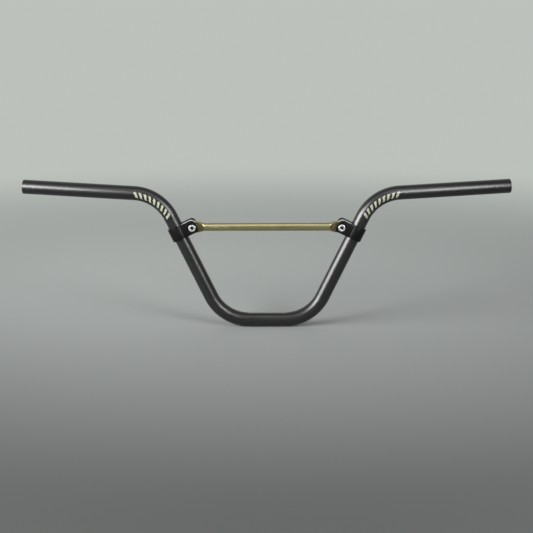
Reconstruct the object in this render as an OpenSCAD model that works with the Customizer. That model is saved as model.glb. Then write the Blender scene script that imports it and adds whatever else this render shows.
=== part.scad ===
// Handlebar of a small freestyle and racing bicycle: one bent, butted tube, with
// a round crossbar bolted between two split clamps.
// X runs across the bar, Y points back towards the rider, Z points up.
// The origin is the middle of the bottom tube, where the stem holds the bar.
// Both legs lie in the XZ plane. The grips sweep up and back from it.

/* [Bar] */
// Outside diameter of the tube
tube_d = 22.2; // [20:0.1:26]
// Overall width, from end face centre to end face centre
bar_w = 762; // [660:1:800]
// Height of the upper corners above the bottom tube
rise = 200; // [170:1:240]
// Distance from the middle to the lower corner of the centreline
lower_corner_x = 69.5; // [60:0.5:90]
// Distance from the middle to the upper corner of the centreline
upper_corner_x = 166.5; // [150:0.5:190]
// Radius of the centreline in all four bends
bend_r = 66; // [50:1:75]
// Upsweep of the grips, in degrees
upsweep = 2.3; // [0:0.1:6]
// Backsweep of the grips, in degrees
backsweep = 6.8; // [0:0.1:14]
// Wall of the tube in the middle and the lower bends
wall_mid = 3.2; // [2:0.1:4]
// Wall of the tube in the upper bends and the grips
wall_end = 2.4; // [1.2:0.1:3]
// Chamfer round the outer edge of each end
end_chamfer = 0.5; // [0.2:0.1:1]
// Chamfer round the mouth of the bore at each end
mouth_chamfer = 0.3; // [0.1:0.1:0.8]
// How much the tube swells in a bend, on the radius
bend_swell = 0.05; // [0.03:0.01:0.1]
// How far a bend laps over the straight lengths next to it, in degrees
bend_lap = 0.5; // [0.3:0.1:0.6]

/* [Crossbar] */
// Height of the crossbar's centreline
crossbar_z = 149; // [130:0.5:160]
// Diameter of the round rod
rod_d = 12.7; // [10:0.1:16]
// Height of the flattened head round the bolt
head_h = 18.5; // [14:0.5:20]
// Thickness of the flattened head
tongue_t = 9; // [6:0.5:11]
// Length of the flare from the rod to the full height of the head
flare_l = 11; // [6:0.5:14]
// Distance from the bolt back to where the full height starts
head_reach = 8; // [5:0.5:10]
// Radius of the cutter that leaves the shoulder between rod and flat
shoulder_r = 3; // [2:0.5:5]
// Distance from the start of the flare to the foot of the shoulder
flat_start = 4; // [3:0.5:6]

/* [Clamps] */
// Height of a clamp along the leg
clamp_h = 21; // [19:0.5:24]
// Height of the clamp above the bolt's centre, along the leg
clamp_above_bolt = 12.1; // [10:0.1:13]
// Wall of the ring round the tube
ring_wall = 2.9; // [2:0.1:4]
// Distance from the leg's centreline to the bolt's centre
bolt_reach = 23; // [21:0.5:25]
// Distance from the leg's centreline to the end of the ears
ear_reach = 31; // [30:0.5:33]
// Thickness over both ears
ears_t = 24.8; // [23:0.1:26]
// Radius of the upper corner of the ears
ear_top_r = 7; // [4:0.5:8]
// Radius of the lower corner of the ears
ear_low_r = 3; // [2:0.5:4]
// Bevel round the edges of a clamp
clamp_bevel = 0.8; // [0.4:0.1:1.2]
// Clearance between the clamp's bore and the tube, on the radius
bore_gap = 0.05; // [0.02:0.01:0.1]

/* [Bolts] */
// Diameter of the thread
thread_d = 6; // [5:1:6]
// Length under the head
bolt_l = 20; // [18:1:20]
// Diameter of the round head
bolt_head_d = 11; // [9.5:0.1:11]
// Height of the round head
bolt_head_h = 6; // [5:0.5:6]
// How far the head stands proud of the ear
head_proud = 1; // [0:0.1:2]
// Width of the hexagon socket across its flats
hex_af = 5; // [4:1:5]
// Depth of the hexagon socket
hex_depth = 3.4; // [2.5:0.1:4]
// Chamfer at the edges of the head and the tip
bolt_chamfer = 0.6; // [0.2:0.1:1]
// Clearance round the head and in the plain holes, on the radius
hole_gap = 0.2; // [0.1:0.05:0.4]
// Clearance round the thread in the rear ear, on the radius
thread_gap = 0.05; // [0.02:0.01:0.1]

/* [Hidden] */
// How far a cutting shape runs past the surface that it cuts
past = 1;
tube_r = tube_d / 2;
bore_mid_r = tube_r - wall_mid;
bore_end_r = tube_r - wall_end;

// Direction of a leg and of a grip, on the side where X is positive
leg_dx = upper_corner_x - lower_corner_x;
leg_length = norm([leg_dx, rise]);
leg_dir = [leg_dx, 0, rise] / leg_length;
leg_across = [-leg_dir[2], 0, leg_dir[0]];
leg_slant = atan2(leg_dx, rise);
grip_dir = [
    cos(upsweep) * cos(backsweep),
    cos(upsweep) * sin(backsweep),
    sin(upsweep)
];

// Turn of each bend, and how far it starts from its corner
lower_turn = 90 - leg_slant;
upper_turn = acos(leg_dir * grip_dir);
lower_set = bend_r * tan(lower_turn / 2);
upper_set = bend_r * tan(upper_turn / 2);
// Roll about the leg that brings the upper bend into its own plane
upper_roll = atan2(-grip_dir[1], grip_dir * leg_across);

// Straight lengths between the bends
centre_half = lower_corner_x - lower_set;
leg_run = leg_length - lower_set - upper_set;
grip_run = (bar_w / 2 - upper_corner_x) / grip_dir[0] - upper_set;

// The bolt in the clamp's own frame, and in the bar's
bolt_s = crossbar_z / cos(leg_slant) - bolt_reach * tan(leg_slant);
bolt_x = lower_corner_x + crossbar_z * tan(leg_slant) - bolt_reach / cos(leg_slant);
clamp_top = clamp_above_bolt;
clamp_low = clamp_above_bolt - clamp_h;
ring_r = tube_r + ring_wall;
ear_face = ears_t / 2;
seat_depth = bolt_head_h - head_proud;
hole_r = thread_d / 2 + hole_gap;
head_r = bolt_head_d / 2;
flare_x = bolt_x - head_reach - flare_l;

// A straight length of the path, along X
module run(length, r_start, r_stop) {
    rotate([0, 90, 0])
        cylinder(r1 = r_start, r2 = r_stop, h = length, $fn = 72);
}

// A bend that starts along X and turns up towards Z. It takes in the ends of the
// straight lengths, which meet it through its flat end faces.
module bend(turn, r) {
    translate([0, 0, bend_r])
        rotate([90, 90, 0])
            rotate([0, 0, -bend_lap])
                rotate_extrude(angle = turn + 2 * bend_lap, $fn = 144)
                    translate([bend_r, 0])
                        circle(r = r + bend_swell, $fn = 72);
}

// Moves its children to the end of such a bend
module past_bend(turn) {
    translate([bend_r * sin(turn), 0, bend_r * (1 - cos(turn))])
        rotate([0, -turn, 0])
            children();
}

// Moves its children to the start of the grip's straight length
module at_grip() {
    translate([centre_half, 0, 0])
        past_bend(lower_turn)
            translate([leg_run, 0, 0])
                rotate([upper_roll, 0, 0])
                    past_bend(upper_turn)
                        children();
}

// Half of a round rod along the bar's centreline, as far as the grip. Its radius
// changes in the leg.
module half_rod(r_mid, r_end) {
    run(centre_half, r_mid, r_mid);
    translate([centre_half, 0, 0]) {
        bend(lower_turn, r_mid);
        past_bend(lower_turn) {
            run(leg_run, r_mid, r_end);
            translate([leg_run, 0, 0])
                rotate([upper_roll, 0, 0])
                    bend(upper_turn, r_end);
        }
    }
}

// Half of the tube before it is bored, with the chamfer at its end
module half_outside() {
    half_rod(tube_r, tube_r);
    at_grip() {
        run(grip_run - end_chamfer, tube_r, tube_r);
        translate([grip_run - end_chamfer, 0, 0])
            run(end_chamfer, tube_r, tube_r - end_chamfer);
    }
}

// Half of the tube's bore, which is wider in the grips than in the middle and has
// its edge broken at the mouth
module half_bore() {
    half_rod(bore_mid_r, bore_end_r);
    at_grip() {
        run(grip_run + past, bore_end_r, bore_end_r);
        translate([grip_run - mouth_chamfer - past, 0, 0])
            run(mouth_chamfer + 2 * past, bore_end_r - past, bore_end_r + mouth_chamfer + past);
    }
}

module handlebar() {
    color([0.10, 0.10, 0.10])
        difference() {
            for (side = [0, 1])
                mirror([side, 0, 0])
                    half_outside();
            for (side = [0, 1])
                mirror([side, 0, 0])
                    half_bore();
        }
}

// One end of the crossbar in the round: the rod flares to a head round the bolt
module crossbar_head() {
    translate([flare_x, 0, crossbar_z])
        rotate([0, 90, 0])
            cylinder(r1 = rod_d / 2, r2 = head_h / 2, h = flare_l, $fn = 72);
    translate([flare_x + flare_l, 0, crossbar_z])
        rotate([0, 90, 0])
            cylinder(r = head_h / 2, h = head_reach, $fn = 72);
    translate([bolt_x, tongue_t / 2, crossbar_z])
        rotate([90, 0, 0])
            cylinder(r = head_h / 2, h = tongue_t, $fn = 72);
}

// What a cutter takes off the back of a head, with its round edge at the rod
module flat_cut() {
    cut_x = flare_x + flat_start;
    translate([cut_x, tongue_t / 2, crossbar_z - head_h])
        cube([head_h * 2, head_h, head_h * 2]);
    translate([cut_x, tongue_t / 2 + shoulder_r, crossbar_z - head_h])
        cylinder(r = shoulder_r, h = head_h * 2, $fn = 72);
}

// Both flats and the bolt's hole at one end of the crossbar
module crossbar_cuts() {
    for (side = [0, 1])
        mirror([0, side, 0])
            flat_cut();
    translate([bolt_x, head_h / 2 + past, crossbar_z])
        rotate([90, 0, 0])
            cylinder(r = hole_r, h = head_h + 2 * past, $fn = 48);
}

module crossbar() {
    rod_half = flare_x + flat_start / 2;
    color([0.72, 0.62, 0.36])
        difference() {
            union() {
                translate([-rod_half, 0, crossbar_z])
                    rotate([0, 90, 0])
                        cylinder(r = rod_d / 2, h = 2 * rod_half, $fn = 72);
                for (side = [0, 1])
                    mirror([side, 0, 0])
                        crossbar_head();
            }
            for (side = [0, 1])
                mirror([side, 0, 0])
                    crossbar_cuts();
        }
}

// Half of a section across both ears, out to one edge, with the bevels at its rims
module ear_section(reach) {
    polygon([
        [0, -ear_face],
        [reach - clamp_bevel, -ear_face],
        [reach, clamp_bevel - ear_face],
        [reach, ear_face - clamp_bevel],
        [reach - clamp_bevel, ear_face],
        [0, ear_face]
    ]);
}

// A round corner of the ears
module ear_corner(r, q, s) {
    translate([q, 0, s])
        rotate([90, 0, 0])
            rotate_extrude($fn = 96)
                ear_section(r);
}

// The block that the slot parts into two ears. Its outer edge, its top and its
// bottom run straight between the round corners.
module ears() {
    translate([0, 0, clamp_low + ear_low_r])
        linear_extrude(height = clamp_h - ear_low_r - ear_top_r)
            ear_section(ear_reach);
    translate([ear_reach - ear_top_r, 0, 0])
        rotate([0, -90, 0])
            linear_extrude(height = ear_reach - ear_top_r)
                ear_section(clamp_top);
    rotate([0, 90, 0])
        linear_extrude(height = ear_reach - ear_low_r)
            ear_section(-clamp_low);
    ear_corner(ear_top_r, ear_reach - ear_top_r, clamp_top - ear_top_r);
    ear_corner(ear_low_r, ear_reach - ear_low_r, clamp_low + ear_low_r);
}

// The clamp in its own frame: Z along the leg, X towards the middle of the bar,
// with Z = 0 at the height of the bolt
module clamp() {
    color([0.05, 0.05, 0.05])
        difference() {
            union() {
                rotate_extrude($fn = 96)
                    polygon([
                        [0, clamp_low],
                        [ring_r - clamp_bevel, clamp_low],
                        [ring_r, clamp_low + clamp_bevel],
                        [ring_r, clamp_top - clamp_bevel],
                        [ring_r - clamp_bevel, clamp_top],
                        [0, clamp_top]
                    ]);
                ears();
            }
            translate([0, 0, clamp_low - past])
                cylinder(r = tube_r + bore_gap, h = clamp_h + 2 * past, $fn = 96);
            translate([0, -tongue_t / 2, clamp_low - past])
                cube([ear_reach + past, tongue_t, clamp_h + 2 * past]);
            bolt_bores();
        }
}

// The seat of the head in the front ear, its plain hole, and the rear ear's thread
module bolt_bores() {
    translate([bolt_reach, 0, 0])
        rotate([90, 0, 0]) {
            translate([0, 0, ear_face - seat_depth])
                cylinder(r = head_r + hole_gap, h = seat_depth + past, $fn = 48);
            cylinder(r = hole_r, h = ear_face, $fn = 48);
            translate([0, 0, -ear_face - past])
                cylinder(r = thread_d / 2 + thread_gap, h = ear_face + past, $fn = 48);
        }
}

// Moves the clamp's frame to the left leg
module on_left_leg() {
    translate([-lower_corner_x, 0, 0])
        rotate([0, -leg_slant, 0])
            translate([0, 0, bolt_s])
                children();
}

module clamp_left() {
    on_left_leg()
        clamp();
}

module clamp_right() {
    mirror([1, 0, 0])
        on_left_leg()
            clamp();
}

// A socket head bolt that points to the back, with its head's face at Z = 0
module bolt() {
    color([0.80, 0.81, 0.80])
        difference() {
            union() {
                translate([0, 0, -bolt_chamfer])
                    cylinder(r1 = head_r, r2 = head_r - bolt_chamfer, h = bolt_chamfer, $fn = 48);
                translate([0, 0, -bolt_head_h])
                    cylinder(r = head_r, h = bolt_head_h - bolt_chamfer, $fn = 48);
                translate([0, 0, bolt_chamfer - bolt_head_h - bolt_l])
                    cylinder(r = thread_d / 2, h = bolt_l - bolt_chamfer, $fn = 48);
                translate([0, 0, -bolt_head_h - bolt_l])
                    cylinder(
                        r1 = thread_d / 2 - bolt_chamfer,
                        r2 = thread_d / 2,
                        h = bolt_chamfer,
                        $fn = 48
                    );
            }
            translate([0, 0, -hex_depth])
                cylinder(d = hex_af / cos(30), h = hex_depth + past, $fn = 6);
        }
}

module clamp_bolts() {
    for (side = [-1, 1])
        translate([side * bolt_x, -ear_face - head_proud, crossbar_z])
            rotate([90, 0, 0])
                bolt();
}

handlebar();
crossbar();
clamp_left();
clamp_right();
clamp_bolts();
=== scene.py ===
# %% [markdown]
# A bicycle handlebar, dressed for the studio
#
# The construction of this handlebar already exists as solids: one bent tube, a
# crossbar, two clamps and two bolts, at their real size. Those solids are exact but
# plain. In this lesson each piece is modelled again with clean, smooth faces and
# small rounded edges, and then gets its finish: satin black on the tube, pale gold
# on the crossbar, black on the clamps and bright zinc on the bolts.
#
# Everything is in metres. X runs across the bar, Y points away from the camera
# towards the rider, and Z points up.

# %% Load the solids
from math import atan2, cos, degrees, hypot, pi, radians, sin, tan

import bmesh
import bpy
from mathutils import Matrix, Vector


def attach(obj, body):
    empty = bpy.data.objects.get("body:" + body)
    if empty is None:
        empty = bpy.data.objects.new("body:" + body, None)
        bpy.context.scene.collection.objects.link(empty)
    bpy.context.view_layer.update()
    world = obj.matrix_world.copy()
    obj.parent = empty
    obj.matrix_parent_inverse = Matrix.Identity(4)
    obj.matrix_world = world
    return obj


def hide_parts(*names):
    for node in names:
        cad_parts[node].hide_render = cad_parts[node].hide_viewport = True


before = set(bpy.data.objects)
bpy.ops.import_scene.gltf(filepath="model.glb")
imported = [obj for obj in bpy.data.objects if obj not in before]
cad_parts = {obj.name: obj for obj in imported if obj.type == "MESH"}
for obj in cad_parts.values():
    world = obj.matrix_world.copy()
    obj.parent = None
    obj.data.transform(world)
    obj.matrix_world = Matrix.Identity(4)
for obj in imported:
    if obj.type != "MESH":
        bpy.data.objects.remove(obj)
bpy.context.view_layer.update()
print("solids:", ", ".join(sorted(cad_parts)))

# %% [markdown]
# The camera comes first, because every later choice is judged through it. The
# photograph was taken from a little above the bar with a long lens, so the camera
# stands two metres away and looks down by twelve and a half degrees. A long lens
# keeps the far grip nearly as large as the near one.

# %% Camera
CAMERA_AT = (-0.0041, -2.132, 0.5581)
CAMERA_DOWN = 12.5
CAMERA_YAW = -0.11
CAMERA_ROLL = 0.09
LENS_MM = 94.05
SENSOR_MM = 36
SEEN_TO = 200

camera_data = bpy.data.cameras.new("camera")
camera_data.sensor_width = SENSOR_MM
camera_data.lens = LENS_MM
camera_data.clip_end = SEEN_TO
camera = bpy.data.objects.new("camera", camera_data)
camera.location = CAMERA_AT
camera.rotation_euler = (radians(90 - CAMERA_DOWN), radians(CAMERA_ROLL), radians(CAMERA_YAW))
bpy.context.collection.objects.link(camera)
bpy.context.scene.camera = camera
print("camera looks down by", CAMERA_DOWN, "degrees")

# %% [markdown]
# The tube's shape comes from a few sizes, the same ones that the solid was made
# from. A bent tube is drawn as a line with corners first. Each corner is then
# rounded to the radius of the bending tool, and what is left between two bends
# stays straight.

# %% Sizes of the tube
TUBE_R = 0.0111
BAR_HALF = 0.381
LOWER_CORNER = Vector((0.0695, 0, 0))
UPPER_CORNER = Vector((0.1665, 0, 0.2))
BEND_R = 0.066
UPSWEEP = radians(2.3)
BACKSWEEP = radians(6.8)

across = Vector((1, 0, 0))
leg_dir = (UPPER_CORNER - LOWER_CORNER).normalized()
grip_dir = Vector((cos(UPSWEEP) * cos(BACKSWEEP), cos(UPSWEEP) * sin(BACKSWEEP), sin(UPSWEEP)))
lower_turn = across.angle(leg_dir)
upper_turn = leg_dir.angle(grip_dir)
lower_set = BEND_R * tan(lower_turn / 2)
upper_set = BEND_R * tan(upper_turn / 2)
grip_end = UPPER_CORNER + grip_dir * ((BAR_HALF - UPPER_CORNER.x) / grip_dir.x)
print("lower bends turn", round(degrees(lower_turn), 1), "degrees")
print("upper bends turn", round(degrees(upper_turn), 1), "degrees")

# %% [markdown]
# The same line is kept as a list of stretches, straight or bent. It steers the
# modelling, and later it tells how far along the tube any point lies, which is what
# the painted marks need.

# %% The centreline as stretches
def bend_centre(corner, towards, turn_to, setback):
    """Start, centre and axis of a bend that comes in along one direction and leaves on another."""
    start = corner - towards * setback
    inward = (turn_to - towards * turn_to.dot(towards)).normalized()
    return start, start + inward * BEND_R, towards.cross(inward)


lower_start, lower_centre, lower_axis = bend_centre(LOWER_CORNER, across, leg_dir, lower_set)
upper_start, upper_centre, upper_axis = bend_centre(UPPER_CORNER, leg_dir, grip_dir, upper_set)
leg_start = LOWER_CORNER + leg_dir * lower_set
grip_start = UPPER_CORNER + grip_dir * upper_set
stretches = [
    {"start": Vector((0, 0, 0)), "dir": across, "length": lower_start.x},
    {"start": lower_start, "dir": across, "centre": lower_centre, "axis": lower_axis,
     "length": BEND_R * lower_turn},
    {"start": leg_start, "dir": leg_dir, "length": (upper_start - leg_start).length},
    {"start": upper_start, "dir": leg_dir, "centre": upper_centre, "axis": upper_axis,
     "length": BEND_R * upper_turn},
    {"start": grip_start, "dir": grip_dir, "length": (grip_end - grip_start).length},
]
half_length = sum(stretch["length"] for stretch in stretches)
print("half of the tube is", round(1000 * half_length), "mm long, measured round the bends")

# %% [markdown]
# Small helpers do what a modeller does by hand between two steps. The first ones
# clear the selection, take one piece in hand, pick its faces or edges by where they
# are, and merge its doubled points.

# %% Helpers for selecting and merging
MERGE_UNDER = 1e-6


def start_clean():
    """Leaves edit mode and selects nothing."""
    if bpy.context.object and bpy.context.object.mode != "OBJECT":
        bpy.ops.object.mode_set(mode="OBJECT")
    bpy.ops.object.select_all(action="DESELECT")


def take(obj):
    """Selects only this piece and makes it the active one."""
    start_clean()
    obj.select_set(True)
    bpy.context.view_layer.objects.active = obj


def near(first, second):
    """True for two measures that are the same but for rounding."""
    return abs(first - second) < MERGE_UNDER


def pick(obj, kind, test):
    """In edit mode, selects only the edges or faces for which test is true."""
    bpy.ops.mesh.select_all(action="DESELECT")
    bpy.ops.mesh.select_mode(type=kind)
    mesh = bmesh.from_edit_mesh(obj.data)
    for item in mesh.faces if kind == "FACE" else mesh.edges:
        item.select_set(bool(test(item)))
    mesh.select_flush_mode()
    bmesh.update_edit_mesh(obj.data)


def merge_points(obj, gap=MERGE_UNDER):
    """Merges points that lie closer than the gap, and turns every face outwards."""
    take(obj)
    bpy.ops.object.mode_set(mode="EDIT")
    bpy.ops.mesh.select_all(action="SELECT")
    bpy.ops.mesh.remove_doubles(threshold=gap)
    bpy.ops.mesh.normals_make_consistent(inside=False)
    bpy.ops.object.mode_set(mode="OBJECT")


print("points closer than", MERGE_UNDER, "m are merged")

# %% [markdown]
# Shapes are joined and cut with the Boolean modifier and their edges are rounded
# with the Bevel modifier, because both follow a change of size by themselves. A
# finished piece has its place in its mesh, so its object stays at the origin. Faces
# that meet at a small angle are shaded as one smooth surface.

# %% Helpers for cutting and finishing
SMOOTH_UNDER = radians(32)


def modify(obj, kind, **settings):
    """Puts a modifier on the piece and applies it."""
    take(obj)
    modifier = obj.modifiers.new(kind.lower(), kind)
    for name, value in settings.items():
        setattr(modifier, name, value)
    bpy.ops.object.modifier_apply(modifier=modifier.name)


def round_edges(obj, width, segments, sharper_than, hold_back=True):
    """Rounds the edges that turn by more degrees, held back or not where they are close."""
    modify(obj, "BEVEL", width=width, segments=segments, limit_method="ANGLE",
           angle_limit=radians(sharper_than), use_clamp_overlap=hold_back)


def combine(obj, other, operation):
    """Joins another shape to the piece, or cuts it away, and deletes the other."""
    modify(obj, "BOOLEAN", operation=operation, object=other, solver="EXACT")
    bpy.data.objects.remove(other, do_unlink=True)


def settle(obj):
    """Moves the object's place and turn into its mesh."""
    take(obj)
    bpy.ops.object.transform_apply(location=True, rotation=True, scale=True)


def finish_piece(obj, material):
    """Cleans the mesh, shades it smooth, gives it its material and puts it on the bar."""
    settle(obj)
    merge_points(obj)
    bpy.ops.object.shade_smooth_by_angle(angle=SMOOTH_UNDER)
    obj.data.materials.clear()
    obj.data.materials.append(material)
    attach(obj, "root")
    print(obj.name, "has", len(obj.data.polygons), "faces")


print("faces that meet under", round(degrees(SMOOTH_UNDER)), "degrees are shaded smooth")

# %% [markdown]
# Everything but the tube starts as a round bar or a box, and so does every cutter. A
# piece that is there twice is modelled once and copied, and each copy gets a mesh of
# its own, because it is then moved inside that mesh.

# %% Helpers for plain shapes and copies
ALONG_X = (0, pi / 2, 0)
ALONG_Y = (pi / 2, 0, 0)
ALONG_Z = (0, 0, 0)
ROUND_SIDES = 96


def cylinder(name, radius, depth, at=(0, 0, 0), turn=ALONG_Z, sides=ROUND_SIDES):
    """A round bar or cutter."""
    start_clean()
    bpy.ops.mesh.primitive_cylinder_add(
        vertices=sides, radius=radius, depth=depth, calc_uvs=False, location=at, rotation=turn)
    obj = bpy.context.object
    obj.name = name
    return obj


def block(name, size, at):
    """A box of that size, with its middle at that point."""
    start_clean()
    bpy.ops.mesh.primitive_cube_add(size=1, calc_uvs=False, location=at)
    obj = bpy.context.object
    obj.name = name
    obj.scale = size
    settle(obj)
    return obj


def copy_piece(model, name):
    """A copy of a modelled piece, with a mesh of its own."""
    piece = model.copy()
    piece.data = model.data.copy()
    piece.name = name
    bpy.context.collection.objects.link(piece)
    return piece


print("round bars have", ROUND_SIDES, "sides unless told otherwise")

# %% [markdown]
# A finish is a tree of nodes. These helpers add the nodes that several finishes use,
# and link or set their inputs, so that each finish below reads like a recipe.

# %% Helpers for node trees
def math_node(tree, operation, first, second=None):
    """A Math node with its inputs linked or set."""
    node = tree.nodes.new("ShaderNodeMath")
    node.operation = operation
    for place, value in enumerate((first, second)):
        if isinstance(value, (int, float)):
            node.inputs[place].default_value = value
        elif value is not None:
            tree.links.new(value, node.inputs[place])
    return node.outputs[0]


def noise_node(tree, vector, scale, detail, roughness):
    """A noise texture on linked coordinates, with a linked scale in features per metre."""
    node = tree.nodes.new("ShaderNodeTexNoise")
    tree.links.new(vector, node.inputs["Vector"])
    tree.links.new(scale, node.inputs["Scale"])
    node.inputs["Detail"].default_value = detail
    node.inputs["Roughness"].default_value = roughness
    return node.outputs["Fac"]


def spread(tree, source, low, high, first=0.0, last=1.0, kind="LINEAR"):
    """Maps a value from first..last to low..high."""
    node = tree.nodes.new("ShaderNodeMapRange")
    node.interpolation_type = kind
    ends = {"From Min": first, "From Max": last, "To Min": low, "To Max": high}
    for label, value in ends.items():
        node.inputs[label].default_value = value
    tree.links.new(source, node.inputs["Value"])
    return node.outputs["Result"]


def soft_step(tree, source, first, last, low=0.0, high=1.0):
    """Rises gently from low to high while the value goes from first to last."""
    return spread(tree, source, low, high, first, last, "SMOOTHSTEP")


def split_axes(tree, vector):
    """The X, Y and Z of a vector, as the outputs of one node."""
    node = tree.nodes.new("ShaderNodeSeparateXYZ")
    tree.links.new(vector, node.inputs["Vector"])
    return node.outputs


def blend_colours(tree, mask, dark, light):
    """Mixes two colours, or linked colours, by a mask."""
    node = tree.nodes.new("ShaderNodeMix")
    node.data_type = "RGBA"
    tree.links.new(mask, node.inputs["Factor"])
    for socket, value in ((node.inputs["A"], dark), (node.inputs["B"], light)):
        if isinstance(value, tuple):
            socket.default_value = (*value, 1)
        else:
            tree.links.new(value, socket)
    return node.outputs["Result"]


print("helpers for node trees are ready")

# %% [markdown]
# Two effects are shared by several finishes, so each is a node group with its own
# inputs. The first is the fine tooth that bead blasting leaves under an anodised
# surface: a height for a bump, and a slow drift of tone. The second is the faint
# lines that turning and drawing leave along a bar.

# %% Node groups for grain and for drawn lines
def new_group(name, inputs, outputs):
    """An empty shader node group with those named values."""
    group = bpy.data.node_groups.new(name, "ShaderNodeTree")
    for label, kind, value in inputs:
        socket = group.interface.new_socket(name=label, in_out="INPUT", socket_type=kind)
        if value is not None:
            socket.default_value = value
    for label in outputs:
        group.interface.new_socket(name=label, in_out="OUTPUT", socket_type="NodeSocketFloat")
    return group, group.nodes.new("NodeGroupInput"), group.nodes.new("NodeGroupOutput")


def make_blasted_grain():
    """Tooth left by blasting, as a height, and a slow drift of tone from 0 to 1."""
    group, given, out = new_group(
        "blasted_grain",
        [("Vector", "NodeSocketVector", None), ("Grain Scale", "NodeSocketFloat", 2600.0),
         ("Drift Scale", "NodeSocketFloat", 22.0)],
        ["Height", "Drift"],
    )
    place = given.outputs["Vector"]
    fine = noise_node(group, place, given.outputs["Grain Scale"], detail=3.0, roughness=0.6)
    slow = noise_node(group, place, given.outputs["Drift Scale"], detail=2.0, roughness=0.5)
    group.links.new(fine, out.inputs["Height"])
    group.links.new(slow, out.inputs["Drift"])
    return group


def make_drawn_lines():
    """Faint lines along X, as turning and drawing leave them, for a height or a tone."""
    group, given, out = new_group(
        "drawn_lines",
        [("Vector", "NodeSocketVector", None), ("Line Scale", "NodeSocketFloat", 900.0)],
        ["Lines"],
    )
    stretch = group.nodes.new("ShaderNodeMapping")
    stretch.inputs["Scale"].default_value = (0.02, 1.0, 1.0)
    group.links.new(given.outputs["Vector"], stretch.inputs["Vector"])
    lines = noise_node(
        group, stretch.outputs["Vector"], given.outputs["Line Scale"], detail=4.0, roughness=0.65)
    group.links.new(lines, out.inputs["Lines"])
    return group


blasted_grain = make_blasted_grain()
drawn_lines = make_drawn_lines()
print("node groups:", blasted_grain.name, drawn_lines.name)

# %% [markdown]
# The marks on the tube are plain painted dashes: a band of slanted dashes over each
# upper bend, and a scale of short ticks on the bottom tube for centring it in the
# stem. They are drawn by arithmetic on the tube's own UV map, whose U is the
# distance along the tube in metres and whose V is the way round it in turns. A mark
# is 1 inside its dash and 0 outside, so it can mix two colours.

# %% Node group for a row of dashes
def make_dash_row():
    """A row of dashes between two places along a tube and two angles round it."""
    group, given, out = new_group(
        "dash_row",
        [("U", "NodeSocketFloat", 0.0), ("V", "NodeSocketFloat", 0.0),
         ("First", "NodeSocketFloat", 0.0), ("Last", "NodeSocketFloat", 0.1),
         ("Pitch", "NodeSocketFloat", 0.005), ("Width", "NodeSocketFloat", 0.3),
         ("Slant", "NodeSocketFloat", 0.0), ("Low", "NodeSocketFloat", 0.0),
         ("High", "NodeSocketFloat", 0.1)],
        ["Mask"],
    )
    value = given.outputs
    leaning = math_node(group, "MULTIPLY", value["V"], value["Slant"])
    along = math_node(group, "ADD", value["U"], leaning)
    from_first = math_node(group, "SUBTRACT", along, value["First"])
    steps = math_node(group, "DIVIDE", from_first, value["Pitch"])
    in_step = math_node(group, "FRACT", steps)
    mask = math_node(group, "LESS_THAN", in_step, value["Width"])
    for limit in (
        math_node(group, "GREATER_THAN", along, value["First"]),
        math_node(group, "LESS_THAN", along, value["Last"]),
        math_node(group, "GREATER_THAN", value["V"], value["Low"]),
        math_node(group, "LESS_THAN", value["V"], value["High"]),
    ):
        mask = math_node(group, "MULTIPLY", mask, limit)
    group.links.new(mask, out.inputs["Mask"])
    return group


dash_row = make_dash_row()
print("node group:", dash_row.name)

# %% [markdown]
# Each finish is one function that fills in a Principled shader. The base tone, the
# roughness and the bump all vary a little over the surface, because a real finish is
# never one flat colour.

# %% Helpers for materials
def new_material(name, **fixed):
    """A material with a Principled shader, its plain values and its coordinates."""
    material = bpy.data.materials.new(name)
    material.use_nodes = True
    tree = material.node_tree
    shader = tree.nodes["Principled BSDF"]
    for label, value in fixed.items():
        shader.inputs[label.replace("_", " ")].default_value = value
    return material, tree, shader, tree.nodes.new("ShaderNodeTexCoord").outputs


def use_group(tree, group, vector, **values):
    """A shared node group, placed in a material with its own values."""
    node = tree.nodes.new("ShaderNodeGroup")
    node.node_tree = group
    if vector is not None:
        tree.links.new(vector, node.inputs["Vector"])
    for label, value in values.items():
        node.inputs[label.replace("_", " ")].default_value = value
    return node


def stored_mask(tree, name):
    """A value that was stored on the faces of a mesh."""
    node = tree.nodes.new("ShaderNodeAttribute")
    node.attribute_name = name
    return node.outputs["Fac"]


def bump(tree, shader, height, strength, distance):
    """Feeds a height to the shader's normal through a Bump node."""
    node = tree.nodes.new("ShaderNodeBump")
    node.inputs["Strength"].default_value = strength
    node.inputs["Distance"].default_value = distance
    tree.links.new(height, node.inputs["Height"])
    tree.links.new(node.outputs["Normal"], shader.inputs["Normal"])


print("helpers for materials are ready")

# %% [markdown]
# The tube's finish is black anodising over blasted aluminium. It is nearly black
# where it faces away from the light, and it carries a broad soft highlight where it
# faces the lamp. The painted marks lie on top of it in pale cream, are a little
# rougher than the metal, and have worn thin in places.

# %% Finish of the tube
TUBE_BLACKS = ((0.0020, 0.0019, 0.0020), (0.0036, 0.0034, 0.0036))
TUBE_SATIN = (0.31, 0.39)
MARK_PAINT = (0.285, 0.295, 0.22)
MARK_WEAR = (0.82, 1.0)
MARK_ROUGHER = 0.12
BEND_BAND = {"First": 0.2475, "Last": 0.3165, "Pitch": 0.0077, "Width": 0.5,
             "Slant": -0.035, "Low": -0.092, "High": 0.034}
STEM_TICKS = {"First": -0.0004, "Last": 0.0315, "Pitch": 0.0025, "Width": 0.34,
              "Slant": 0.0, "Low": 0.205, "High": 0.262}


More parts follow.
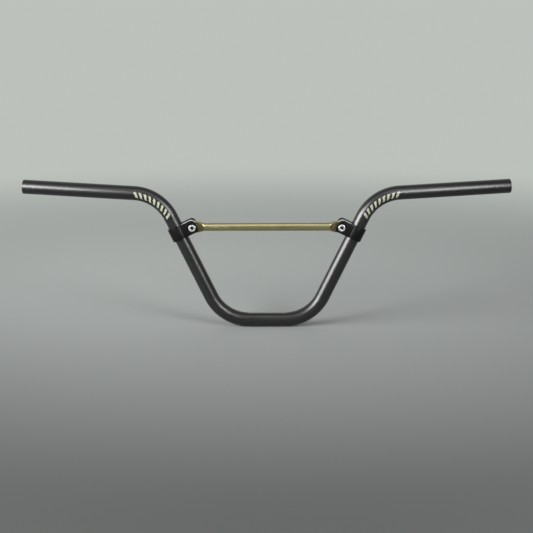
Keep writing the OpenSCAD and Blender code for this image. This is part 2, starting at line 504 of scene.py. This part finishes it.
def make_tube_finish():
    """Satin black with painted marks."""
    material, tree, shader, coordinates = new_material("satin_black_tube", Metallic=0.0, IOR=1.56)
    grain = use_group(
        tree, blasted_grain, coordinates["Object"], Grain_Scale=3200.0, Drift_Scale=30.0).outputs
    metal = blend_colours(tree, grain["Drift"], *TUBE_BLACKS)
    place = split_axes(tree, coordinates["UV"])
    rows = []
    for values in (BEND_BAND, STEM_TICKS):
        row = use_group(tree, dash_row, None, **values)
        tree.links.new(place["X"], row.inputs["U"])
        tree.links.new(place["Y"], row.inputs["V"])
        rows.append(row.outputs["Mask"])
    marks = math_node(tree, "MAXIMUM", *rows)
    paint = math_node(tree, "MULTIPLY", marks, spread(tree, grain["Height"], *MARK_WEAR))
    tree.links.new(blend_colours(tree, paint, metal, MARK_PAINT), shader.inputs["Base Color"])
    satin = spread(tree, grain["Drift"], *TUBE_SATIN)
    chalky = math_node(tree, "MULTIPLY", marks, MARK_ROUGHER)
    tree.links.new(math_node(tree, "ADD", satin, chalky), shader.inputs["Roughness"])
    bump(tree, shader, grain["Height"], strength=0.12, distance=0.00002)
    return material


tube_finish = make_tube_finish()
print("finish:", tube_finish.name)

# %% [markdown]
# The crossbar is turned from aluminium bar and anodised pale gold. Metal takes its
# colour from what it reflects, so it is a metallic shader with a gold base. Drawn
# lines run along it. The flats of its heads get a darker, mottled gold: painted
# shade, for the dark that the flat faces show. They are found by their place: far
# out along X, and on the front and back, away from the middle in Y.

# %% Finish of the crossbar
GOLDS = ((0.37, 0.335, 0.165), (0.50, 0.465, 0.26))
GOLD_SHEEN = (0.22, 0.36)
# painted shade: a darker gold on the flats of the heads
FLATS_SHADED_GOLD = (0.225, 0.186, 0.096)
FLATS_SHADE_MOTTLE = (0.6, 1.0)
FLATS_SHADE_WHERE = {"X": (0.0985, 0.1005), "Y": (0.0036, 0.0043)}


def make_crossbar_finish():
    """Pale gold with drawn lines, and painted shade on the flats."""
    material, tree, shader, coordinates = new_material("pale_gold_crossbar", Metallic=1.0)
    lines = use_group(
        tree, drawn_lines, coordinates["Object"], Line_Scale=1500.0).outputs["Lines"]
    grain = use_group(
        tree, blasted_grain, coordinates["Object"], Grain_Scale=2400.0, Drift_Scale=60.0).outputs
    gold = blend_colours(tree, grain["Drift"], *GOLDS)
    place = split_axes(tree, coordinates["Object"])
    # painted shade on the flats, broken by a mottle
    flats_shade = spread(tree, grain["Height"], *FLATS_SHADE_MOTTLE)
    for axis, (start, end) in FLATS_SHADE_WHERE.items():
        outward = math_node(tree, "ABSOLUTE", place[axis])
        flats_shade = math_node(tree, "MULTIPLY", flats_shade, soft_step(tree, outward, start, end))
    tree.links.new(blend_colours(tree, flats_shade, gold, FLATS_SHADED_GOLD), shader.inputs["Base Color"])
    tree.links.new(spread(tree, lines, *GOLD_SHEEN), shader.inputs["Roughness"])
    bump(tree, shader, lines, strength=0.15, distance=0.00003)
    return material


crossbar_finish = make_crossbar_finish()
print("finish:", crossbar_finish.name)

# %% [markdown]
# The clamps are milled and anodised black like the tube, but they look blacker,
# because most of their faces are flat and look away from the lamps. Their edges are
# what shows: a painted highlight of bright bare metal lies along the top of the front
# ear. A value stored on the faces of the mesh tells the material where.

# %% Finish of the clamps
HIGHLIGHT_MASK = "painted_highlight_edge"
CLAMP_BLACKS = ((0.0014, 0.0014, 0.0015), (0.0030, 0.0029, 0.0031))
CLAMP_SATIN = (0.34, 0.46)
# painted highlight: a bright, metallic colour on the top of the front ear
PAINTED_HIGHLIGHT_METAL = (0.80, 0.80, 0.78)
HIGHLIGHT_PATCHES = (0.7, 1.0)


def make_clamp_finish():
    """Black, with a painted highlight of bright metal on the ear tops."""
    material, tree, shader, coordinates = new_material("black_clamps", Metallic=0.0, IOR=1.27)
    grain = use_group(
        tree, blasted_grain, coordinates["Object"], Grain_Scale=2000.0, Drift_Scale=90.0).outputs
    black = blend_colours(tree, grain["Drift"], *CLAMP_BLACKS)
    highlight_breakup = spread(tree, grain["Drift"], *HIGHLIGHT_PATCHES)
    # painted highlight, broken into patches by the drift
    painted_highlight = math_node(tree, "MULTIPLY", stored_mask(tree, HIGHLIGHT_MASK), highlight_breakup)
    tree.links.new(blend_colours(tree, painted_highlight, black, PAINTED_HIGHLIGHT_METAL), shader.inputs["Base Color"])
    tree.links.new(painted_highlight, shader.inputs["Metallic"])
    tree.links.new(spread(tree, grain["Drift"], *CLAMP_SATIN), shader.inputs["Roughness"])
    bump(tree, shader, grain["Height"], strength=0.15, distance=0.00002)
    return material


clamp_finish = make_clamp_finish()
print("finish:", clamp_finish.name)

# %% [markdown]
# The bolts are steel with a bright zinc coat. The coat is slightly cloudy, so the
# roughness wanders more than on the other pieces. The sockets get painted shade, a
# dark colour inside the recess. A value stored on the faces of the mesh tells the
# material where that is.

# %% Finish of the bolts
SOCKET_MASK = "in_socket"
ZINCS = ((0.66, 0.68, 0.67), (0.86, 0.87, 0.85))
ZINC_CLOUD = (0.28, 0.5)
# painted shade: a dark colour inside the hex socket
SOCKET_SHADE_COLOUR = (0.045, 0.036, 0.026)


def make_bolt_finish():
    """Bright zinc, with painted shade in the socket."""
    material, tree, shader, coordinates = new_material("bright_zinc_bolts", Metallic=1.0)
    grain = use_group(
        tree, blasted_grain, coordinates["Object"], Grain_Scale=1800.0, Drift_Scale=420.0).outputs
    zinc = blend_colours(tree, grain["Drift"], *ZINCS)
    socket_shaded = blend_colours(tree, stored_mask(tree, SOCKET_MASK), zinc, SOCKET_SHADE_COLOUR)
    tree.links.new(socket_shaded, shader.inputs["Base Color"])
    tree.links.new(spread(tree, grain["Drift"], *ZINC_CLOUD), shader.inputs["Roughness"])
    bump(tree, shader, grain["Height"], strength=0.1, distance=0.00002)
    return material


bolt_finish = make_bolt_finish()
print("finish:", bolt_finish.name)

# %% [markdown]
# The tube is drawn the way a bending machine makes it. A circle is pulled straight
# to the first bend, swung round the bending tool with Spin, pulled along the leg,
# swung again for the grip and pulled to the end. A curve with a round profile would
# be quicker, but its rings would not sit where the bends begin and end.

# %% Half of the tube
TUBE_SIDES = 96
STEPS_PER_BEND = 44
start_clean()
bpy.ops.mesh.primitive_circle_add(
    vertices=TUBE_SIDES, radius=TUBE_R, fill_type="NOTHING", calc_uvs=False, rotation=ALONG_X)
tube = bpy.context.object
tube.name = "bent_tube"
settle(tube)
bpy.ops.object.mode_set(mode="EDIT")
bpy.ops.mesh.select_all(action="SELECT")
for stretch in stretches:
    if "centre" in stretch:
        bpy.ops.mesh.spin(
            steps=STEPS_PER_BEND,
            angle=-stretch["length"] / BEND_R,
            center=stretch["centre"],
            axis=stretch["axis"],
        )
    else:
        bpy.ops.mesh.extrude_region_move(
            TRANSFORM_OT_translate={"value": stretch["dir"] * stretch["length"]})
bpy.ops.object.mode_set(mode="OBJECT")
far = max(tube.data.vertices, key=lambda v: v.co.x).co
print("half tube reaches", [round(1000 * c, 2) for c in far], "mm")

# %% [markdown]
# The other half is a mirror image. The wall comes last, as a thickness towards the
# inside, so the outside keeps its exact size, and the rims of the open ends are
# rounded as a cutter leaves them.

# %% The other half, the wall and the rounded rims
WALL = 0.0024
RIM_ROUND = 0.0005
modify(tube, "MIRROR", use_axis=(True, False, False), use_mirror_merge=True,
       merge_threshold=10 * MERGE_UNDER)
merge_points(tube)
modify(tube, "SOLIDIFY", thickness=WALL, offset=-1, use_rim=True)
round_edges(tube, RIM_ROUND, segments=3, sharper_than=60)
print("whole tube has", len(tube.data.polygons), "faces")

# %% [markdown]
# The marks need to know where each point of the tube lies. The function below finds
# the stretch of the centreline that a point belongs to, and returns the distance
# along it and the way round it, counted from the front through the top.

# %% Place of a point on the tube
TIE = 1e-7


def along_and_round(point):
    """Metres along the centreline and turns round it, for a point with X of 0 or more."""
    nearest = None
    travelled = 0.0
    front = Vector((0, -1, 0))
    for stretch in stretches:
        start, heading, length = stretch["start"], stretch["dir"], stretch["length"]
        if "centre" in stretch:
            centre, axis = stretch["centre"], stretch["axis"]
            arm = start - centre
            out = point - centre
            flat = out - axis * out.dot(axis)
            swung = atan2(axis.dot(arm.cross(flat)), arm.dot(flat))
            swung = max(0.0, min(length / BEND_R, swung))
            turned = Matrix.Rotation(swung, 3, axis)
            middle, towards, place = centre + turned @ arm, turned @ heading, swung * BEND_R
            facing = turned @ front
            front_after = Matrix.Rotation(length / BEND_R, 3, axis) @ front
        else:
            place = max(0.0, min(length, (point - start).dot(heading)))
            middle, towards, facing = start + heading * place, heading, front
            front_after = front
        out = point - middle
        if nearest is None or out.length < nearest[0] - TIE:
            upward = facing.cross(towards)
            turn = atan2(out.dot(upward), out.dot(facing)) / (2 * pi)
            nearest = (out.length, travelled + place, turn)
        travelled += length
        front = front_after
    return nearest[1:]


print("the top of the bar's middle is at", along_and_round(Vector((0, 0, TUBE_R)))[1], "turns")

# %% [markdown]
# Those two values become the tube's UV map. A face that straddles the back, where
# the turns jump from a half to minus a half, gets one whole turn added to its
# negative side, so that no face is stretched across the whole map.

# %% UV map of the tube
HALF_TURN = 0.5
uv_layer = tube.data.uv_layers.new(name="along_tube")
known = [along_and_round(Vector((abs(v.co.x), v.co.y, v.co.z))) for v in tube.data.vertices]
for face in tube.data.polygons:
    places = [known[tube.data.loops[i].vertex_index] for i in face.loop_indices]
    turns = [turn for _, turn in places]
    wraps = max(turns) - min(turns) > HALF_TURN
    for i, (distance, turn) in zip(face.loop_indices, places):
        uv_layer.data[i].uv = (distance, turn + 1 if wraps and turn < 0 else turn)
finish_piece(tube, tube_finish)
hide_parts("handlebar")

# %% [markdown]
# The crossbar is a round rod with a head at each end, and each head takes a bolt.
# The bolts' places follow from the slant of the legs and from how far the clamps
# reach, so they are worked out from the same sizes.

# %% Sizes of the crossbar
CROSSBAR_Z = 0.149
ROD_R = 0.00635
HEAD_R = 0.00925
TONGUE_T = 0.009
FLARE = 0.011
HEAD_REACH = 0.008
SHOULDER_R = 0.003
FLAT_START = 0.004
BOLT_REACH = 0.023
BOLT_HOLE_R = 0.0032
leg_slant = atan2(leg_dir.x, leg_dir.z)
bolt_x = LOWER_CORNER.x + CROSSBAR_Z * tan(leg_slant) - BOLT_REACH / cos(leg_slant)
bolt_s = CROSSBAR_Z / cos(leg_slant) - BOLT_REACH * tan(leg_slant)
flare_x = bolt_x - HEAD_REACH - FLARE
print("bolts at x =", round(1000 * bolt_x, 1), "mm")

# %% [markdown]
# The rod starts as a plain cylinder. At each end it is drawn out and scaled to flare
# into a head, and the head's end is rounded about the bolt.

# %% Rod and heads in the round
END_FACING = 0.9
rod = cylinder("crossbar_rod", ROD_R, 2 * flare_x, at=(0, 0, CROSSBAR_Z), turn=ALONG_X)
settle(rod)
bpy.ops.object.mode_set(mode="EDIT")
for side in (-1, 1):
    pick(rod, "FACE", lambda face: face.normal.x * side > END_FACING)
    bpy.ops.mesh.extrude_region_move(TRANSFORM_OT_translate={"value": (side * FLARE, 0, 0)})
    grown = HEAD_R / ROD_R
    bpy.ops.transform.resize(
        value=(1, grown, grown), center_override=(side * (flare_x + FLARE), 0, CROSSBAR_Z))
    bpy.ops.mesh.extrude_region_move(TRANSFORM_OT_translate={"value": (side * HEAD_REACH, 0, 0)})
bpy.ops.object.mode_set(mode="OBJECT")
for side in (-1, 1):
    eye = cylinder(
        "eye", HEAD_R, TONGUE_T, at=(side * bolt_x, 0, CROSSBAR_Z), turn=ALONG_Y, sides=128)
    combine(rod, eye, "UNION")
print("rod in the round has", len(rod.data.polygons), "faces")

# %% [markdown]
# A mill takes a flat off the front and the back of each head. The mill's edge is
# round, so it leaves a small hollow shoulder where the flat meets the rod. A drill
# makes the hole for the bolt.

# %% Flats, shoulders and holes
mill_size = (4 * HEAD_R, 2 * HEAD_R, 3 * HEAD_R)
shoulder_x = flare_x + FLAT_START - SHOULDER_R
for side in (-1, 1):
    for face_side in (-1, 1):
        mill_y = face_side * (TONGUE_T / 2 + HEAD_R)
        mill = block("mill", mill_size, (side * (shoulder_x + 2 * HEAD_R), mill_y, CROSSBAR_Z))
        bpy.ops.object.mode_set(mode="EDIT")
        pick(mill, "EDGE", lambda edge: all(
            near(side * v.co.x, shoulder_x) and near(face_side * v.co.y, TONGUE_T / 2)
            for v in edge.verts))
        bpy.ops.mesh.bevel(offset=SHOULDER_R, segments=16, profile=0.5, affect="EDGES")
        combine(rod, mill, "DIFFERENCE")
    drill = cylinder(
        "drill", BOLT_HOLE_R, 3 * HEAD_R, at=(side * bolt_x, 0, CROSSBAR_Z), turn=ALONG_Y, sides=64)
    combine(rod, drill, "DIFFERENCE")
print("milled and drilled rod has", len(rod.data.polygons), "faces")

# %% [markdown]
# The cuts leave slivers where two surfaces nearly touch. They are merged first, or
# the Bevel modifier would have no room there and would hold every edge back to
# nothing. The rounded edges are what catches the light on the heads.

# %% Rounded edges of the crossbar
SLIVER = 0.00002
ROD_BEVEL = 0.0006
merge_points(rod, SLIVER)
round_edges(rod, ROD_BEVEL, segments=3, sharper_than=30, hold_back=False)
finish_piece(rod, crossbar_finish)
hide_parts("crossbar")

# %% [markdown]
# A clamp is a ring with two ears. It is modelled upright, with the tube along Z and
# the ears along X, because every cut is then square to an axis.

# %% Sizes of a clamp
CLAMP_TOP = 0.0121
CLAMP_LOW = -0.0089
RING_R = 0.014
BORE_R = 0.01115
EAR_REACH = 0.031
EARS_T = 0.0248
EAR_TOP_R = 0.007
EAR_LOW_R = 0.003
CLAMP_BEVEL = 0.0009
SEAT_R = 0.0057
SEAT_DEPTH = 0.005
THREAD_R = 0.003
TAPPED_R = 0.00305
print("a clamp is", round(1000 * (CLAMP_TOP - CLAMP_LOW), 1), "mm tall")

# %% [markdown]
# The ring and the block of the ears are joined. The bore, the slot, the seat of the
# bolt's head and its two holes are then cut one after the other, as in a workshop.
# The bevel at the end does two jobs: it rounds the outside edges, which catch the
# light, and it fills the crease between ring and ear.

# %% Model of a clamp
def model_clamp():
    """The left clamp in its own frame, with the bolt at the height Z = 0."""
    height = CLAMP_TOP - CLAMP_LOW
    middle = (CLAMP_TOP + CLAMP_LOW) / 2
    front_bolt, back_bolt = (BOLT_REACH, -EARS_T / 2, 0), (BOLT_REACH, EARS_T / 2, 0)
    clamp = cylinder("split_clamp", RING_R, height, at=(0, 0, middle), sides=128)
    settle(clamp)
    ears = block("ears", (EAR_REACH, EARS_T, height), (EAR_REACH / 2, 0, middle))
    bpy.ops.object.mode_set(mode="EDIT")
    for corner_z, corner_r in ((CLAMP_TOP, EAR_TOP_R), (CLAMP_LOW, EAR_LOW_R)):
        pick(ears, "EDGE", lambda edge: all(
            near(v.co.x, EAR_REACH) and near(v.co.z, corner_z) for v in edge.verts))
        bpy.ops.mesh.bevel(offset=corner_r, segments=20, profile=0.5, affect="EDGES")
    combine(clamp, ears, "UNION")
    for tool in (
        cylinder("bore", BORE_R, 2 * height, at=(0, 0, middle), sides=128),
        block("slot", (EAR_REACH * 2, TONGUE_T, height * 2), (EAR_REACH, 0, middle)),
        cylinder("seat", SEAT_R, SEAT_DEPTH * 2, at=front_bolt, turn=ALONG_Y),
        cylinder("plain_hole", BOLT_HOLE_R, EARS_T, at=front_bolt, turn=ALONG_Y, sides=64),
        cylinder("tapped_hole", TAPPED_R, EARS_T, at=back_bolt, turn=ALONG_Y, sides=64),
    ):
        combine(clamp, tool, "DIFFERENCE")
    round_edges(clamp, CLAMP_BEVEL, segments=3, sharper_than=22)
    return clamp


clamp_model = model_clamp()
print("one clamp has", len(clamp_model.data.polygons), "faces")

# %% [markdown]
# The top of the front ear gets a painted highlight of bright metal.
# The faces are chosen by where they lie and which way they look: on the ear, in
# front of the slot, and facing upwards. The mask is stored on the model, so both
# copies carry it.

# %% Painted highlight on the front ear
HIGHLIGHT_FROM_X = 0.8 * RING_R
HIGHLIGHT_FACING = (-0.99, 0.5)
HIGHLIGHT_UPWARD = 0.12
# the upward faces of the front ear get the painted highlight
mask = clamp_model.data.attributes.new(HIGHLIGHT_MASK, "FLOAT", "FACE")
for face in clamp_model.data.polygons:
    on_ear = face.center.x > HIGHLIGHT_FROM_X and face.center.z > SEAT_R
    in_front = face.center.y < -TONGUE_T / 2
    on_top = HIGHLIGHT_FACING[0] < face.normal.y < HIGHLIGHT_FACING[1] and face.normal.z > HIGHLIGHT_UPWARD
    mask.data[face.index].value = 1.0 if on_ear and in_front and on_top else 0.0
print("rubbed faces:", sum(1 for item in mask.data if item.value))

# %% [markdown]
# The model is copied for each leg and leant over to match it. The right clamp is a
# mirror image, which turns its faces inside out, so they are flipped back.

# %% Both clamps in place
on_left_leg = (
    Matrix.Translation(-LOWER_CORNER)
    @ Matrix.Rotation(-leg_slant, 4, "Y")
    @ Matrix.Translation((0, 0, bolt_s))
)
mirrored = Matrix.Scale(-1, 4, (1, 0, 0))
for node, place in (("clamp_left", on_left_leg), ("clamp_right", mirrored @ on_left_leg)):
    clamp = copy_piece(clamp_model, "split_" + node)
    clamp.data.transform(place)
    if place.determinant() < 0:
        clamp.data.flip_normals()
    finish_piece(clamp, clamp_finish)
    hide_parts(node)
bpy.data.objects.remove(clamp_model, do_unlink=True)

# %% [markdown]
# A socket head bolt has a round head with a rounded top edge, a hexagon socket and a
# shank. Only the head and the tip of the shank can be seen here, but the whole bolt
# is there. The thread is left off, because it is inside the clamp.

# %% Sizes of a bolt
BOLT_HEAD_R = 0.0055
BOLT_HEAD_H = 0.006
HEAD_ROUND = 0.0007
HEAD_PROUD = 0.001
BOLT_LENGTH = 0.020
SHANK_OVERLAP = 0.0001
HEX_AF = 0.005
HEX_CORNER_R = HEX_AF / 2 / cos(pi / 6)
HEX_DEPTH = 0.0034
BOLT_BEVEL = 0.00025
SHADE_BELOW = -0.0002
print("the socket takes a", 1000 * HEX_AF, "mm key")

# %% [markdown]
# The head is a cylinder whose top edge is rounded. The shank is joined to it from
# below and the socket is cut from above. The faces inside the socket are stored for
# the painted shade of the finish.

# %% Model of a bolt
def model_bolt():
    """A bolt along Z with its head's face at Z = 0 and its tip below."""
    bolt = cylinder("bolt", BOLT_HEAD_R, BOLT_HEAD_H, at=(0, 0, -BOLT_HEAD_H / 2))
    settle(bolt)
    bpy.ops.object.mode_set(mode="EDIT")
    pick(bolt, "FACE", lambda face: face.normal.z > END_FACING)
    bpy.ops.mesh.bevel(offset=HEAD_ROUND, segments=4, profile=0.5, affect="EDGES")
    bpy.ops.object.mode_set(mode="OBJECT")
    shank_z = -BOLT_HEAD_H - BOLT_LENGTH / 2 + SHANK_OVERLAP
    combine(bolt, cylinder("shank", THREAD_R, BOLT_LENGTH, at=(0, 0, shank_z), sides=64), "UNION")
    combine(bolt, cylinder("socket", HEX_CORNER_R, 2 * HEX_DEPTH, sides=6), "DIFFERENCE")
    round_edges(bolt, BOLT_BEVEL, segments=2, sharper_than=40)
    # faces deep in the socket get the painted shade
    shaded_socket = bolt.data.attributes.new(SOCKET_MASK, "FLOAT", "FACE")
    for face in bolt.data.polygons:
        inside = hypot(face.center.x, face.center.y) < HEX_CORNER_R
        shaded_socket.data[face.index].value = 1.0 if inside and face.center.z < SHADE_BELOW else 0.0
    return bolt


bolt_model = model_bolt()
print("one bolt has", len(bolt_model.data.polygons), "faces")

# %% [markdown]
# Each copy of the bolt is turned to point backwards and pushed into its seat, from
# which the head stands a millimetre proud.

# %% Both bolts in place
for name, x in (("bolt_left", -bolt_x), ("bolt_right", bolt_x)):
    bolt = copy_piece(bolt_model, name)
    seated = Matrix.Translation((x, -EARS_T / 2 - HEAD_PROUD, CROSSBAR_Z))
    bolt.data.transform(seated @ Matrix.Rotation(pi / 2, 4, "X"))
    finish_piece(bolt, bolt_finish)
    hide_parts("clamp_bolts")
bpy.data.objects.remove(bolt_model, do_unlink=True)

# %% [markdown]
# The bar stands on a plain pale floor. It is matt, so it takes a soft shadow. Its
# colour runs a little from darker in front of the bar to paler behind it: painted
# shade for the falloff of light from lamps that stand in front.

# %% Floor
FLOOR_REACH = 60.0
# painted shade: the floor colour is darker in front of the bar and paler behind
FLOOR_SHADE_TO_PALE = ((0.158, 0.167, 0.163), (0.318, 0.333, 0.323))
GRADED_FROM, GRADED_TO = -0.95, 1.0
start_clean()
bpy.ops.mesh.primitive_plane_add(
    size=2 * FLOOR_REACH, calc_uvs=False, location=(0, 0, -TUBE_R))
floor = bpy.context.object
floor.name = "floor"
settle(floor)
floor_paint, floor_tree, floor_shader, floor_place = new_material("pale_floor", Roughness=0.75)
painted_falloff = soft_step(
    floor_tree, split_axes(floor_tree, floor_place["Object"])["Y"], GRADED_FROM, GRADED_TO)
floor_tree.links.new(
    blend_colours(floor_tree, painted_falloff, *FLOOR_SHADE_TO_PALE), floor_shader.inputs["Base Color"])
floor.data.materials.append(floor_paint)
print("floor at z =", round(1000 * -TUBE_R, 1), "mm")

# %% [markdown]
# Lamps that suit a bar less than a metre wide can't light a floor out to the
# horizon, so far away the floor turns into an even pale grey. That grey is seen by
# the camera and in reflections only, and it sends no light to the bar. It starts
# outside the shadow.

# %% Pale grey far away
FAR_GREY = (0.505, 0.535, 0.505)
FAR_FROM, FAR_TO = 0.65, 1.8
away = floor_tree.nodes.new("ShaderNodeVectorMath")
away.operation = "LENGTH"
floor_tree.links.new(floor_place["Object"], away.inputs[0])
far_mask = soft_step(floor_tree, away.outputs["Value"], FAR_FROM, FAR_TO)
rays = floor_tree.nodes.new("ShaderNodeLightPath").outputs
seen = math_node(floor_tree, "MAXIMUM", rays["Is Camera Ray"], rays["Is Glossy Ray"])
seen = math_node(floor_tree, "MAXIMUM", seen, rays["Is Transmission Ray"])
haze = floor_tree.nodes.new("ShaderNodeEmission")
haze.inputs["Color"].default_value = (*FAR_GREY, 1)
floor_mix = floor_tree.nodes.new("ShaderNodeMixShader")
for source, socket in (
    (math_node(floor_tree, "MULTIPLY", seen, far_mask), floor_mix.inputs[0]),
    (floor_shader.outputs["BSDF"], floor_mix.inputs[1]),
    (haze.outputs["Emission"], floor_mix.inputs[2]),
    (floor_mix.outputs["Shader"], floor_tree.nodes["Material Output"].inputs["Surface"]),
):
    floor_tree.links.new(source, socket)
print("the far grey is full", FAR_TO, "m away from the bar")

# %% [markdown]
# Round black metal is lit by what it reflects. Large soft lamps stand in front, on
# both sides of the camera, and draw the long highlights on the grips and along the
# legs. Between them stays a gap, so the bottom tube stays dark. Each lamp has a grid
# and is feathered: it points level past the bar, so the bar gets the edge of its
# beam, and the floor in front of the bar gets little. That keeps the undersides of
# the tubes dark.

# %% Helpers for lamps
LAMPS_AWAY = 1.6
BAR_MIDDLE_Z = 0.12
LEVEL_AIM_Y = 0.4
GRID = radians(45)
grid_gain = tan(GRID) / (tan(GRID) - GRID)


def lamp(name, place, aim, size, brightness):
    """A soft lamp with a grid, and the brightness of its face along its axis."""
    data = bpy.data.lights.new(name, "AREA")
    data.shape = "RECTANGLE"
    data.size, data.size_y = size
    data.spread = 2 * GRID
    data.energy = 4 * brightness * data.size * data.size_y / grid_gain
    obj = bpy.data.objects.new(name, data)
    obj.location = place
    obj.rotation_euler = (aim - place).to_track_quat("-Z", "Y").to_euler()
    bpy.context.collection.objects.link(obj)
    print(name, "has", round(data.energy, 1), "W")


def front_lamp(name, azimuth, elevation, wide, tall, brightness):
    """A feathered lamp that covers those angles, in degrees, as seen from the bar."""
    flat = LAMPS_AWAY * cos(radians(elevation))
    place = Vector((
        flat * sin(radians(azimuth)),
        -flat * cos(radians(azimuth)),
        BAR_MIDDLE_Z + LAMPS_AWAY * sin(radians(elevation)),
    ))
    size = (2 * LAMPS_AWAY * tan(radians(wide / 2)), 2 * LAMPS_AWAY * tan(radians(tall / 2)))
    lamp(name, place, Vector((0, LEVEL_AIM_Y, place.z)), size, brightness)


print("a grid makes a lamp", round(grid_gain, 2), "times brighter along its axis")

# %% [markdown]
# The left lamp is low and wide, for the broad highlight on the left grip. The right
# one is narrow and high, for the thin bright lines on the right leg. A weak third
# lamp carries the highlight out to the end of the right grip. The lamp overhead
# points straight at the bar and draws its shadow softly below it.

# %% Lamps
OVERHEAD_AT = Vector((0, -0.80, 1.55))
front_lamp("lamp_left", azimuth=-65, elevation=21, wide=52, tall=24, brightness=31)
front_lamp("lamp_right", azimuth=36, elevation=29, wide=22, tall=36, brightness=21)
front_lamp("lamp_right_side", azimuth=63, elevation=40, wide=32, tall=20, brightness=5)
lamp("lamp_overhead", OVERHEAD_AT, Vector((0, 0, BAR_MIDDLE_Z)), size=(1.5, 0.8), brightness=1.65)

# %% [markdown]
# The world fills the shadows. It is dim all round, a little brighter overhead, and
# brightest behind the bar, where a studio has its white wall. The black tubes
# reflect that in their upper edges.

# %% World
SKY_COLOUR = (0.97, 1.0, 0.98)
SKY_OVERHEAD = {"first": 0.05, "last": 0.65, "low": 0.11, "high": 0.17}
SKY_BEHIND = {"first": 0.0, "last": 0.7, "low": 0.0, "high": 0.46}
world = bpy.data.worlds.new("studio")
world.use_nodes = True
sky_tree = world.node_tree
sky = sky_tree.nodes["Background"]
parts = split_axes(sky_tree, sky_tree.nodes.new("ShaderNodeTexCoord").outputs["Generated"])
overhead = soft_step(sky_tree, parts["Z"], **SKY_OVERHEAD)
behind = soft_step(sky_tree, parts["Y"], **SKY_BEHIND)
sky_tree.links.new(math_node(sky_tree, "ADD", overhead, behind), sky.inputs["Strength"])
sky.inputs["Color"].default_value = (*SKY_COLOUR, 1)
bpy.context.scene.world = world
bpy.context.scene.view_settings.view_transform = "Standard"
print("world:", world.name)
